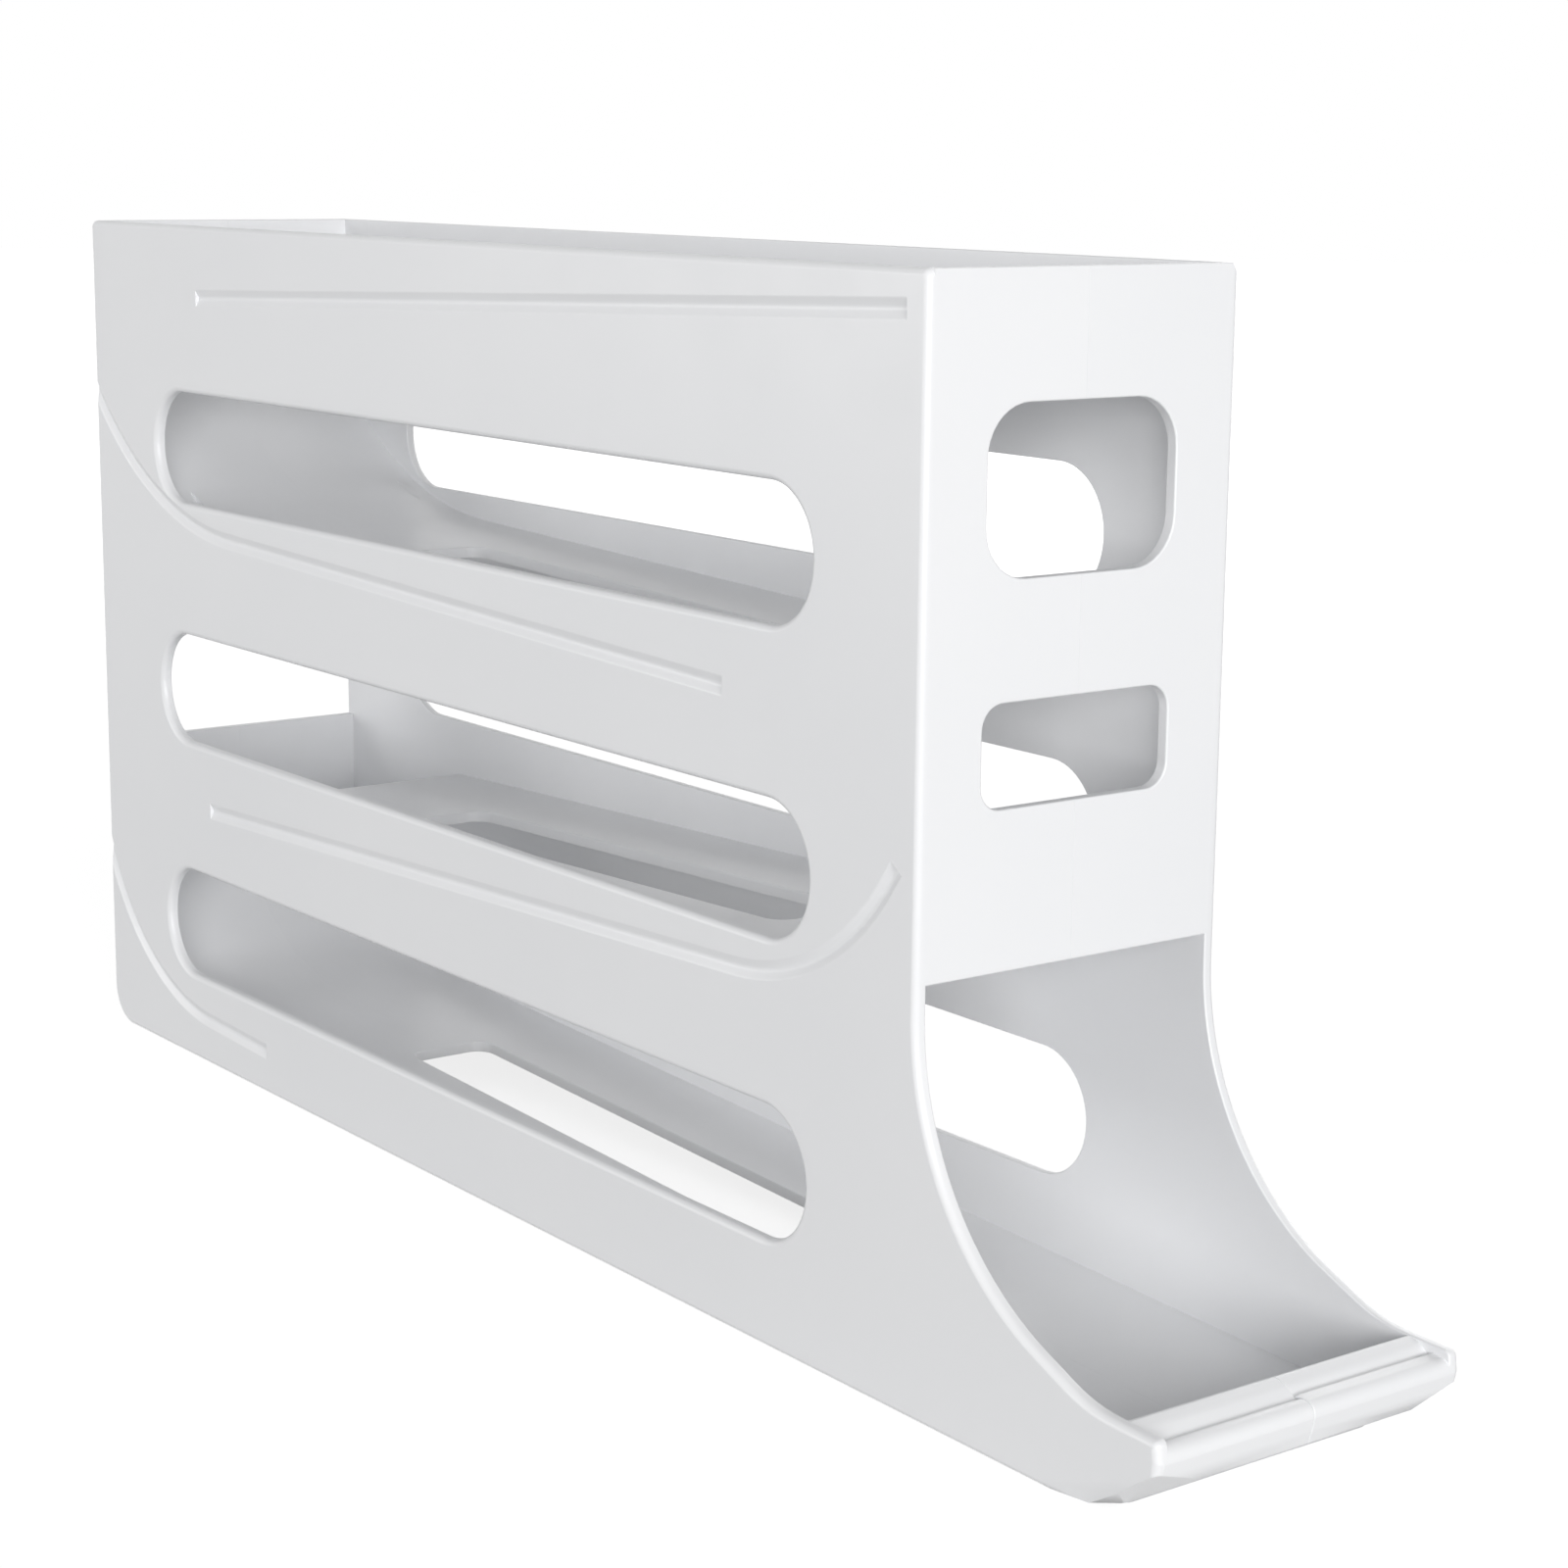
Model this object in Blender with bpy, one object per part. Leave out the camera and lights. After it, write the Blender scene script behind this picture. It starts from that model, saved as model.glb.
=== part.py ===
"""Rolling egg dispenser, four tiers of ramps between two side panels.

The real product is two mirrored plastic mouldings, a left and a right half, that meet on the centre
plane x = 0. Here each half is divided into its walls, so that every wall is one simple solid.
Units are metres, +Z is up, the dispensing lip points to -Y, the floor is z = 0, and y = 0 is the
front plate's face until the last step, which moves the model to the middle of its own length.
"""

import math

import bmesh
import bpy
from mathutils import Matrix, Vector

MM = 0.001

# Overall sizes
width = 70.0 * MM
wall = 2.5 * MM
depth = 317.0 * MM
reach = 62.5 * MM
seam_gap = 0.3 * MM
overrun = 5.0 * MM

# Tiers, counted from the lowest: each one repeats the slot, so all heights start from it
slot_floor = 20.5 * MM
tier_pitch = 56.5 * MM
rim_depth = 7.0 * MM
tier_count = 4
height = slot_floor + (tier_count - 1) * tier_pitch + rim_depth

# Side slots, with full round ends
slot_height = 25.5 * MM
slot_front = 30.5 * MM
slot_back_margin = 32.0 * MM

# Side panel's outline: the sweep starts below the second tier's slot and lands on the lip's ledge
ledge_height = 18.5 * MM
sweep_drop = 5.0 * MM
sweep_landing = 9.0 * MM
rear_foot_radius = 9.0 * MM
rim_corner_radius = 1.5 * MM
sweep_steps = 16
corner_steps = 5

# Ramps: how far they stop short of the end where the egg drops, and how steeply they fall
drop_length = 55.5 * MM
fall_forward = math.radians(1.8)
fall_back = math.radians(2.1)

# Ramp centre lines at the front plate's face, against the base of the tier above each ramp
top_ramp_lift = 0.4 * MM
second_ramp_drop = 14.9 * MM
third_ramp_drop = 4.9 * MM

# Ramp bends: the length that each takes along the base, and how steep its end is
second_bend_run = 67.0 * MM
second_bend_angle = math.radians(46.8)
third_bend_run = 52.0 * MM
third_bend_angle = math.radians(71.6)
lowest_bend_run = 52.0 * MM
lowest_bend_angle = math.radians(63.9)
bend_steps = 12

# Lengthwise opening along the middle of every ramp
middle_half_width = 10.0 * MM
middle_front = 72.0 * MM
middle_back_margin = 103.0 * MM
middle_corner_radius = 4.0 * MM

# Front plate's two windows, each one lifted from the base of its own tier
window_half_width = 21.3 * MM
upper_window_lift = 11.5 * MM
upper_window_height = 29.6 * MM
upper_window_radius = 9.0 * MM
lower_window_lift = 28.6 * MM
lower_window_height = 18.4 * MM
lower_window_radius = 4.5 * MM

# Lower back wall stops this far below the second tier's slot
back_wall_drop = 6.0 * MM

# Lip: shares of its depth, counted from its rear face, and of the ledge's height
lip_depth = 15.0 * MM
lip_shares = (
    (0.0, 0.0), (0.0, 0.15), (0.27, 0.84), (0.36, 0.92), (0.66, 0.865), (0.70, 0.80),
    (0.76, 0.825), (0.93, 0.77), (1.0, 0.68), (1.0, 0.58), (0.9, 0.46), (0.04, 0.0),
)
lip_hollow_shares = ((0.24, 0.30), (0.41, 0.76), (0.62, 0.73), (0.83, 0.66), (0.83, 0.59))
panel_nose_shares = ((0.93, 0.885), (1.0, 0.80), (1.0, 0.58), (0.9, 0.46), (0.04, 0.0))

# Chin: the facets that lift the base's front corners, with lengths counted from the lip's rear face
chin_run = 15.9 * MM
chin_rise = 10.0 * MM
chin_inset = 1.2 * MM
chin_corner = 3.5 * MM
chin_front_margin = 6.5 * MM
chin_nose_share = 0.92

# Joining pegs and their sockets on the centre plane
boss_radius = 3.0 * MM
boss_length = 8.0 * MM
peg_radius = 1.6 * MM
peg_length = 5.5 * MM
peg_clearance = 0.3 * MM
top_peg_place = 11.0 * MM
skirt_peg_lift = 3.0 * MM
second_peg_margin = 22.0 * MM
lowest_peg_margin = 14.0 * MM
floor_peg_margin = 21.0 * MM
round_steps = 24

# Finish
shell_colour = (0.86, 0.87, 0.89, 1.0)
shell_roughness = 0.38
sharp_angle = math.radians(30)
merge_distance = 0.01 * MM


def tier_base(tier):
    """Height of a tier's slot, with tier 0 the lowest and the top tray above the last slot."""
    return slot_floor + tier * tier_pitch


def clear_scene():
    for thing in list(bpy.data.objects):
        bpy.data.objects.remove(thing, do_unlink=True)


def shell_material(name):
    material = bpy.data.materials.new(name)
    material.use_nodes = True
    shader = material.node_tree.nodes["Principled BSDF"]
    shader.inputs["Base Color"].default_value = shell_colour
    shader.inputs["Roughness"].default_value = shell_roughness
    shader.inputs["Metallic"].default_value = 0.0
    return material


def add_object(name, mesh, parent=None):
    thing = bpy.data.objects.new(name, mesh)
    bpy.context.collection.objects.link(thing)
    thing.parent = parent
    return thing


def finish_piece(thing):
    """Gives a piece its own material and smooth shading on its round walls."""
    thing.data.materials.append(shell_material(thing.name))
    thing.data.shade_smooth()
    thing.data.set_sharp_from_angle(angle=sharp_angle)


def prism_mesh(name, ring, direction):
    """Closed solid from a flat ring of corners, pushed along a direction."""
    mesh = bpy.data.meshes.new(name)
    shape = bmesh.new()
    corners = [shape.verts.new(point) for point in ring]
    face = shape.faces.new(corners)
    pushed = bmesh.ops.extrude_face_region(shape, geom=[face])
    moved = [item for item in pushed["geom"] if isinstance(item, bmesh.types.BMVert)]
    bmesh.ops.translate(shape, vec=direction, verts=moved)
    bmesh.ops.recalc_face_normals(shape, faces=shape.faces)
    shape.to_mesh(mesh)
    shape.free()
    return mesh


def side_prism(name, outline, x_from, x_to, parent=None):
    """Solid whose outline is given as (y, z) corners, from one x to another."""
    ring = [Vector((x_from, y, z)) for y, z in outline]
    return add_object(name, prism_mesh(name, ring, Vector((x_to - x_from, 0, 0))), parent)


def cutter(thing):
    thing.hide_render = True
    thing.display_type = "WIRE"
    return thing


def cut(thing, tool):
    step = thing.modifiers.new("cut_" + tool.name, "BOOLEAN")
    step.operation = "DIFFERENCE"
    step.solver = "EXACT"
    step.object = tool


def arc(centre, radius, start, end, steps):
    """Points on an arc, both ends included, with angles in radians."""
    points = []
    for step in range(steps + 1):
        angle = start + (end - start) * step / steps
        points.append((centre[0] + radius * math.cos(angle), centre[1] + radius * math.sin(angle)))
    return points


def rounded_box(low, high, radius, steps):
    """Outline of a box with round corners, from its two opposite corners."""
    quarter = math.pi / 2
    near_u, near_v = low[0] + radius, low[1] + radius
    far_u, far_v = high[0] - radius, high[1] - radius
    outline = arc((far_u, far_v), radius, 0, quarter, steps)
    outline += arc((near_u, far_v), radius, quarter, 2 * quarter, steps)
    outline += arc((near_u, near_v), radius, 2 * quarter, 3 * quarter, steps)
    outline += arc((far_u, near_v), radius, 3 * quarter, 4 * quarter, steps)
    return outline


def lip_point(depth_share, height_share):
    """Corner of the lip, from shares of its depth ahead of its rear face and of the ledge's height."""
    return (lip_depth - reach - depth_share * lip_depth, height_share * ledge_height)


lip_back = lip_point(0, 0)[0]
inner_face = width / 2 - wall - seam_gap
seam_face = seam_gap / 2
front_seat = wall + seam_gap
back_seat = depth - wall - seam_gap


class Ramp:
    """A ramp's centre line, with its floor and its underside half a wall to either side.

    It falls straight at its rise, and may bend up, tangent, towards the back wall (bend_side 1) or
    towards the front plate (bend_side -1), from bend_at over bend_run to the slope bend_angle.
    """

    def __init__(self, low, high, level, rise, bend_side=0, bend_at=0.0, bend_run=0.0, bend_angle=0.0):
        self.low = low
        self.high = high
        self.level = level
        self.rise = rise
        self.bend_side = bend_side
        self.bend_at = bend_at
        self.turn = math.atan(rise * bend_side)
        self.bend_radius = 0.0
        if bend_side != 0:
            self.bend_radius = bend_run / (math.sin(bend_angle) - math.sin(self.turn))

    def surface(self, y, offset):
        """Height at y of the surface that lies offset above the centre line."""
        straight = self.level + self.rise * y + offset / math.cos(math.atan(self.rise))
        if self.bend_side == 0:
            return straight
        past = (y - self.bend_at) * self.bend_side
        centre_past = -self.bend_radius * math.sin(self.turn)
        centre_height = self.level + self.rise * self.bend_at + self.bend_radius * math.cos(self.turn)
        radius = self.bend_radius - offset
        if past <= centre_past + radius * math.sin(self.turn):
            return straight
        return centre_height - math.sqrt(radius ** 2 - (past - centre_past) ** 2)

    def stations(self):
        """Places along y where the outline has a corner."""
        if self.bend_side == 0:
            return [self.low, self.high]
        end = self.high if self.bend_side > 0 else self.low
        reach_past = end - self.bend_at
        bend = [self.bend_at + reach_past * step / bend_steps for step in range(bend_steps + 1)]
        if self.bend_side > 0:
            return [self.low] + bend
        return sorted(bend) + [self.high]

    def outline(self):
        places = self.stations()
        floor = [(y, self.surface(y, wall / 2)) for y in places]
        underside = [(y, self.surface(y, -wall / 2)) for y in reversed(places)]
        return floor + underside


lowest_low = lip_back + seam_gap
lowest_level = wall / 2 / math.cos(fall_forward) - math.tan(fall_forward) * lowest_low

ramps = {
    "ramp_1": Ramp(
        front_seat, depth - drop_length, tier_base(3) + top_ramp_lift, -math.tan(fall_back),
    ),
    "ramp_2": Ramp(
        drop_length, back_seat, tier_base(2) - second_ramp_drop, math.tan(fall_forward),
        1, depth - second_bend_run, second_bend_run, second_bend_angle,
    ),
    "ramp_3": Ramp(
        front_seat, depth - drop_length, tier_base(1) - third_ramp_drop, -math.tan(fall_back),
        -1, third_bend_run, third_bend_run, third_bend_angle,
    ),
    "ramp_4": Ramp(
        lowest_low, back_seat, lowest_level, math.tan(fall_forward),
        1, depth - lowest_bend_run, lowest_bend_run, lowest_bend_angle,
    ),
}


def sweep_points():
    """Concave quarter of an ellipse, from below the front plate down to the lip's ledge."""
    run = reach - sweep_landing
    top = tier_base(1) - sweep_drop
    points = []
    for step in range(sweep_steps + 1):
        angle = math.pi / 2 * step / sweep_steps
        points.append((run * (math.cos(angle) - 1), top - (top - ledge_height) * math.sin(angle)))
    return points


def panel_outline():
    """Side panel: straight back and rim, a concave sweep down to the lip, and the base."""
    quarter = math.pi / 2
    outline = [(0, height)] + sweep_points()
    outline += [lip_point(*shares) for shares in panel_nose_shares]
    foot_centre = (depth - rear_foot_radius, rear_foot_radius)
    outline += arc(foot_centre, rear_foot_radius, -quarter, 0, corner_steps)
    rim_centre = (depth - rim_corner_radius, height - rim_corner_radius)
    outline += arc(rim_centre, rim_corner_radius, 0, quarter, corner_steps)
    return outline


def slot_cutters():
    tools = []
    half = width / 2 + overrun
    for tier in range(tier_count - 1):
        low = (slot_front, tier_base(tier))
        high = (depth - slot_back_margin, tier_base(tier) + slot_height)
        outline = rounded_box(low, high, slot_height / 2, corner_steps)
        tools.append(cutter(side_prism("slot_cutter_%d" % (tier + 1), outline, -half, half)))
    return tools


def window_cutter(name, low, tall, radius):
    outline = rounded_box((-window_half_width, low), (window_half_width, low + tall), radius, corner_steps)
    ring = [Vector((x, -overrun, z)) for x, z in outline]
    return cutter(add_object(name, prism_mesh(name, ring, Vector((0, wall + 2 * overrun, 0)))))


def window_cutters():
    upper_low = tier_base(2) + upper_window_lift
    lower_low = tier_base(1) + lower_window_lift
    return [
        window_cutter("upper_window_cutter", upper_low, upper_window_height, upper_window_radius),
        window_cutter("lower_window_cutter", lower_low, lower_window_height, lower_window_radius),
    ]


def middle_cutter():
    low = (-middle_half_width, middle_front)
    high = (middle_half_width, depth - middle_back_margin)
    outline = rounded_box(low, high, middle_corner_radius, corner_steps)
    ring = [Vector((x, y, -overrun)) for x, y in outline]
    push = Vector((0, 0, height + 2 * overrun))
    return cutter(add_object("middle_cutter", prism_mesh("middle_cutter", ring, push)))


def lip_hollow_cutter():
    outline = [lip_point(*shares) for shares in lip_hollow_shares]
    half = width / 2 + overrun
    return cutter(side_prism("lip_hollow_cutter", outline, -half, half))


def plane_cutter(name, first, second, third, inside):
    """Block that fills the side of a plane away from a point that is kept."""
    first, second, third = Vector(first), Vector(second), Vector(third)
    normal = (second - first).cross(third - first).normalized()
    if normal.dot(Vector(inside) - first) > 0:
        normal = -normal
    size = reach + wall
    along = (second - first).normalized() * size
    across = normal.cross(along)
    ahead = first + 2 * along
    behind = first - along
    ring = [ahead + across, behind + across, behind - across, ahead - across]
    return cutter(add_object(name, prism_mesh(name, ring, normal * size)))


def chin_cutters(label, side):
    """Two facets on one lower front corner of the base."""
    edge = side * width / 2
    start = (edge, lip_back + chin_run, 0)
    corner = (edge - side * chin_inset, lip_back + chin_corner, 0)
    front = (edge - side * chin_front_margin, lip_back, 0)
    nose = (edge, lip_point(chin_nose_share, 0)[0], chin_rise)
    inside = (0, lip_back, ledge_height)
    return [
        plane_cutter(label + "_chin_side_cutter", start, nose, corner, inside),
        plane_cutter(label + "_chin_corner_cutter", nose, corner, front, inside),
    ]


def peg_places():
    """Middle of each joining peg, under or behind a closed part of a wall, out of the eggs' way."""
    drop = wall / 2 + seam_gap + boss_radius
    second_y = depth - second_peg_margin
    lowest_y = depth - lowest_peg_margin
    floor_y = depth - middle_back_margin + floor_peg_margin
    return [
        (top_peg_place, ramps["ramp_1"].surface(top_peg_place, -drop)),
        (front_seat + boss_radius, tier_base(1) + skirt_peg_lift + boss_radius),
        (second_y, ramps["ramp_2"].surface(second_y, -drop)),
        (lowest_y, ramps["ramp_4"].surface(lowest_y, -drop)),
        (floor_y, ramps["ramp_4"].surface(floor_y, -drop)),
    ]


def turned_mesh(name, profile, place, closed):
    """Solid turned about an axis along x, from (x, radius) corners."""
    mesh = bpy.data.meshes.new(name)
    shape = bmesh.new()
    corners = [shape.verts.new((x, place[0], place[1] + radius)) for x, radius in profile]
    edges = [shape.edges.new(pair) for pair in zip(corners, corners[1:])]
    if closed:
        edges.append(shape.edges.new((corners[-1], corners[0])))
    bmesh.ops.spin(
        shape, geom=corners + edges, cent=Vector((0, place[0], place[1])), axis=Vector((1, 0, 0)),
        angle=2 * math.pi, steps=round_steps, use_merge=True,
    )
    bmesh.ops.remove_doubles(shape, verts=shape.verts, dist=merge_distance)
    bmesh.ops.recalc_face_normals(shape, faces=shape.faces)
    shape.to_mesh(mesh)
    shape.free()
    return mesh


def build_panel(label, side, half, tools):
    name = label + "_side_panel"
    outer = side * width / 2
    inner = side * (width / 2 - wall)
    panel = side_prism(name, panel_outline(), inner, outer, half)
    for tool in tools["slots"] + tools["chin_" + label]:
        cut(panel, tool)
    return panel


def build_walls(label, side, half):
    """The upright walls at the two ends: front plate, upper and lower back wall."""
    beside = side * inner_face
    seam = side * seam_face
    upper_low = ramps["ramp_2"].surface(back_seat, -wall / 2)
    lower_low = ramps["ramp_4"].surface(back_seat, -wall / 2)
    places = {
        "front_plate": (0, wall, tier_base(1), height),
        "upper_back_wall": (depth - wall, depth, upper_low, height),
        "lower_back_wall": (depth - wall, depth, lower_low, tier_base(1) - back_wall_drop),
    }
    walls = {}
    for name, (front, back, low, high) in places.items():
        outline = [(front, low), (back, low), (back, high), (front, high)]
        walls[name] = side_prism(label + "_" + name, outline, beside, seam, half)
    return walls


def build_half(label, side, tools):
    """All the walls of one half, side -1 for the left and +1 for the right."""
    half = add_object(label + "_half", None)
    beside = side * inner_face
    seam = side * seam_face

    pieces = [build_panel(label, side, half, tools)]
    for name, ramp in ramps.items():
        piece = side_prism(label + "_" + name, ramp.outline(), beside, seam, half)
        cut(piece, tools["middle"])
        pieces.append(piece)

    walls = build_walls(label, side, half)
    for tool in tools["windows"]:
        cut(walls["front_plate"], tool)
    pieces += walls.values()

    lip = side_prism(label + "_lip", [lip_point(*shares) for shares in lip_shares], beside, seam, half)
    for tool in [tools["lip_hollow"]] + tools["chin_" + label]:
        cut(lip, tool)
    pieces.append(lip)

    for thing in pieces:
        finish_piece(thing)
    return half


def build_pegs(left_half, right_half):
    """Bosses on the centre plane: a peg on the left half goes into a socket on the right half."""
    socket_radius = peg_radius + peg_clearance
    for number, place in enumerate(peg_places(), 1):
        peg_profile = [
            (-boss_length, 0), (-boss_length, boss_radius), (-seam_face, boss_radius),
            (-seam_face, peg_radius), (peg_length, peg_radius), (peg_length, 0),
        ]
        peg_name = "left_joining_peg_%d" % number
        peg = turned_mesh(peg_name, peg_profile, place, False)
        finish_piece(add_object(peg_name, peg, left_half))
        socket_profile = [
            (seam_face, socket_radius), (seam_face, boss_radius),
            (boss_length, boss_radius), (boss_length, socket_radius),
        ]
        socket_name = "right_joining_socket_%d" % number
        socket = turned_mesh(socket_name, socket_profile, place, True)
        finish_piece(add_object(socket_name, socket, right_half))


def centre_model():
    """Moves the origin to the middle of the overall length, on the floor."""
    shift = Matrix.Translation((0, (reach - depth) / 2, 0))
    for thing in bpy.data.objects:
        if thing.parent is None:
            thing.matrix_world = shift @ thing.matrix_world


def main():
    clear_scene()
    tools = {
        "slots": slot_cutters(),
        "middle": middle_cutter(),
        "windows": window_cutters(),
        "lip_hollow": lip_hollow_cutter(),
        "chin_left": chin_cutters("left", -1),
        "chin_right": chin_cutters("right", 1),
    }
    left_half = build_half("left", -1, tools)
    right_half = build_half("right", 1, tools)
    build_pegs(left_half, right_half)
    centre_model()
    bpy.context.view_layer.update()


main()
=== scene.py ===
"""Rolling dispenser with four tiers: a left and a right plastic moulding that meet on the plane x = 0.

Each moulding is one shell: a side panel, its half of four ramps, of the front plate, of two back
walls and of the lip. Lengths along y are written from the front plate's face, and move to the
frame's own y when a shape is made.
"""
import math

import bmesh
import bpy
from mathutils import Matrix, Vector


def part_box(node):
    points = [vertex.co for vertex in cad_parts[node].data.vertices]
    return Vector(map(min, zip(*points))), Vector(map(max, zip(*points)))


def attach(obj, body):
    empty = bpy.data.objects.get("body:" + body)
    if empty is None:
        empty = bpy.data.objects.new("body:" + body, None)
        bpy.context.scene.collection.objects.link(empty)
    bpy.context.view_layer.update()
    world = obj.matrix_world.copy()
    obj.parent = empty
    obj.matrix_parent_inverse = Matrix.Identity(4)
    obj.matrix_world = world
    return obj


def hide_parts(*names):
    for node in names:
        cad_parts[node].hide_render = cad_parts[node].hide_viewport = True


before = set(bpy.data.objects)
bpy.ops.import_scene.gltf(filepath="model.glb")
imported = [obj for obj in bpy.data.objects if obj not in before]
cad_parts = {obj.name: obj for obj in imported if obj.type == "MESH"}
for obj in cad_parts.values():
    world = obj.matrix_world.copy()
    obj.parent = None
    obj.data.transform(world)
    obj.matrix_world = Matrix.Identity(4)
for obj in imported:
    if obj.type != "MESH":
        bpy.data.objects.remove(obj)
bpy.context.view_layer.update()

MM = 0.001

# From the frame: the outside sizes, the wall and the levels that the walls stop at
panel_low, panel_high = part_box("left_side_panel")
plate_low, plate_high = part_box("left_front_plate")
upper_wall_low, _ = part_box("left_upper_back_wall")
lower_wall_low, lower_wall_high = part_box("left_lower_back_wall")
face_y = plate_low.y
wall = plate_high.y - plate_low.y
outside = -panel_low.x
inside = outside - wall
depth = panel_high.y - face_y
reach = face_y - panel_low.y
height = panel_high.z
plate_bottom = plate_low.z
lower_wall_top = lower_wall_high.z

# Seam: each half stops this far from the centre plane, with a fine break on its edge
seam_half_gap = 0.01 * MM
plate_break = 0.03 * MM
lip_break = 0.2 * MM

# Roundings of the moulding
outer_round = 1.3 * MM
inner_round = 0.35 * MM
nose_round = 0.3 * MM
window_round = 0.4 * MM
overlap = 1.0 * MM
overrun = 5.0 * MM
rim_flare_share = 0.5
merge_distance = 0.004 * MM
bevel_angle = math.radians(28)
crease_angle = math.radians(40)

# Fineness: the turn between two points of an arc, and the steps along ends, bends and rings
arc_step = math.radians(11)
groove_arc_step = math.radians(8)
slot_arc_step = math.radians(6)
panel_arc_step = math.radians(5)
end_round_steps = 4
wall_edge_steps = 2
sweep_steps = 36
bend_steps = 26
groove_bend_steps = 78
turned_sides = 40
floor_sides = 64

# Side slots, one for each closed tier
slot_floor = 20.5 * MM
tier_pitch = 56.5 * MM
slot_height = 25.5 * MM
slot_front = 30.5 * MM
slot_back = 285.0 * MM
slot_count = 3
round_end_share = 0.4998

# Side panel's outline
sweep_top = 72.0 * MM
sweep_radius = 53.5 * MM
sweep_turn = math.radians(67.5)
ledge_height = 17.4 * MM
ledge_round = 30.0 * MM
rear_foot_round = 9.0 * MM
rim_corner_round = 1.5 * MM
front_corner_round = 1.6 * MM

# Ramps: how far they stop short of an end, how they fall, the height of their middle line at the
# front plate's face, and the length and last slope of the bend that they end in
drop_length = 55.5 * MM
fall_forward = math.radians(1.8)
fall_back = math.radians(2.1)
ramp_1_level = 190.4 * MM
ramp_2_level = 118.6 * MM
ramp_3_level = 72.1 * MM
ramp_2_bend = (67.0 * MM, math.radians(46.8))
ramp_3_bend = (52.0 * MM, math.radians(71.6))
ramp_4_bend = (52.0 * MM, math.radians(63.9))
to_back, to_front = 1.0, -1.0

# Lengthwise opening along the middle of every ramp
middle_half_width = 10.0 * MM
middle_front = 72.0 * MM
middle_back = 214.0 * MM
middle_round = 4.0 * MM

# Front plate's windows
window_half_width = 21.3 * MM
upper_window_low = 145.0 * MM
upper_window_high = 174.6 * MM
upper_window_round = 9.0 * MM
lower_window_low = 105.6 * MM
lower_window_high = 124.0 * MM
lower_window_round = 4.5 * MM

# Lip and nose, as corners of their outlines in millimetres: y from the front plate's face, height,
# and the corner's radius
lip_rear = 47.5 * MM
lip_rear_corners = ((-47.5, 0.0, 0.3), (-47.5, 2.8, 0.0))
lip_ridge_corners = ((-51.4, 15.6, 0.5), (-52.5, 17.2, 1.5), (-55.6, 16.5, 4.0))
lip_groove_corners = ((-58.5, 14.6, 0.9), (-59.4, 15.4, 0.45))
lip_front_corners = (
    (-62.5, 15.3, 2.2), (-62.5, 12.9, 0.8), (-62.0, 10.6, 3.0), (-61.2, 8.1, 0.6), (-47.9, 0.0, 0.3),
)
lip_hollow_corners = (
    (-51.1, 5.6, 0.6), (-53.7, 14.0, 0.8), (-56.8, 12.8, 0.6), (-59.9, 12.1, 0.8), (-59.9, 10.9, 0.5),
)
nose_corners = (
    (-62.0, 16.9, 1.3), (-62.5, 13.2, 1.5), (-62.0, 10.6, 3.0), (-61.2, 8.1, 0.0), (-47.9, 0.0, 0.0),
)

# The halves don't quite meet in line: the right half's groove lies this many millimetres back and up
lip_jog = 1.0
lip_jog_rise = 0.25

# Chin: three facets on each lower front corner of the base
chin_start = 31.6 * MM
chin_rise = 10.0 * MM
chin_nose = 61.3 * MM
chin_inset = 2.2 * MM
chin_corner = 44.3 * MM
chin_front_half_width = 28.5 * MM
chin_face = 62.0 * MM
chin_face_rise = 11.5 * MM
chin_edge = 61.5 * MM
chin_edge_rise = 8.1 * MM
chin_edge_half_width = 24.0 * MM

# Grooves on the panel's outside, along the ramps' middle lines
groove_half_width = 1.8 * MM
groove_floor_half = 0.3 * MM
groove_depth = 0.85 * MM
groove_rim_half = 3.6 * MM
groove_rim_height = 0.12 * MM
groove_rim_round = 1.8 * MM
groove_floor_round = 1.0 * MM

# Joining pegs and sockets, with bosses that reach the wall beside them
boss_radius = 3.6 * MM
boss_length = 8.0 * MM
peg_radius = 1.6 * MM
peg_length = 5.5 * MM
peg_tip = 0.6 * MM
socket_radius = 1.9 * MM
boss_round = 0.3 * MM
rail_radius = 1.0 * MM
peg_count = 5

# Finish of the plastic
shell_white = (0.895, 0.9, 0.912, 1.0)
shell_shade = (0.875, 0.882, 0.897, 1.0)
shell_smooth, shell_dull = 0.30, 0.42
left_shift, right_shift = (0.0, 0.0, 0.0), (0.31, 0.17, 0.05)
plastic_ior = 1.49
drift_scale, drift_detail, drift_roughness = 14.0, 2.0, 0.45
drift_low, drift_high = 0.3, 0.7
handling_scale, handling_detail, handling_roughness = 70.0, 3.0, 0.55
handling_low, handling_high = 0.3, 0.75
grain_scale, grain_detail, grain_roughness = 2600.0, 1.5, 0.5
grain_strength = 0.12
grain_height = 0.02 * MM

# Camera, fitted to the photograph's edges
camera_place = Vector((-364.6, -531.25, 216.0)) * MM
camera_right = Vector((0.8024, -0.5966, 0.0100))
camera_up = Vector((0.1090, 0.1630, 0.9806))
camera_lens = 73.3
camera_sensor = 36.0
camera_near = 0.01

# Light and ground, with each softbox's name, place, size and power
ambient_level = 0.27
white_level = 1.0
floor_radius = 6.0
floor_tone = 0.4
floor_roughness = 0.9
near_glow, far_glow = 0.8, 1.0
glow_near_radius, glow_far_radius = 0.45, 1.3
softboxes = (
    ("key_softbox", (-1.3, -1.55, 0.32), (0.8, 0.6), 14.8),
    ("front_softbox", (-0.45, -2.0, 0.6), (1.0, 0.8), 19.0),
    ("side_softbox", (-1.25, 1.0, 0.36), (0.9, 0.6), 5.8),
    ("rear_softbox", (1.6, 0.6, 0.6), (1.2, 1.0), 12.0),
)


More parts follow.
